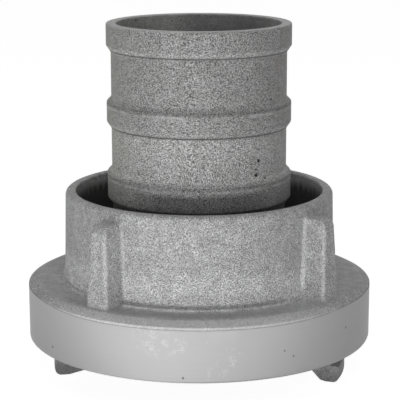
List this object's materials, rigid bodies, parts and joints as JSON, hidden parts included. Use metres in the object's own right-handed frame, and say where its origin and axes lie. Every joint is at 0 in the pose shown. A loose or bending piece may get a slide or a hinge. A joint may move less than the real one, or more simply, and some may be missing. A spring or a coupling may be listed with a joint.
{
  "type": "quarter turn fire hose coupling",
  "caption": "Cast aluminium hose coupling with hooked lugs that lock with a quarter turn, a ribbed grip bell and a swivelling ridged hose tail.",
  "frame": {"origin": "on the coupling's axis at the feet of its two lugs, the lowest level of the part", "axes": "+Z along the axis from the lugs to the mouth of the hose tail; the lugs lie along +X and -X, and the picture looks from -Y, 5 degrees towards +X"},
  "size_m": [0.098, 0.098, 0.1007],
  "materials": {
    "head_aluminium": "as cast with a fine grain, turned on the band of the ring",
    "tail_aluminium": "as cast with a fine grain, slightly darker than the head",
    "seal_rubber": "moulded black rubber",
    "spring_steel": "drawn spring wire"
  },
  "bodies": {
    "head": {"coupling_head": "head_aluminium"},
    "tail": {"hose_tail": "tail_aluminium", "face_seal": "seal_rubber", "snap_ring": "spring_steel"}
  },
  "joints": [
    {"name": "tail_swivel", "type": "hinge", "parent": "head", "child": "tail", "pos_m": [0, 0, 0.0224], "axis": [0, 0, 1], "continuous": true}
  ]
}
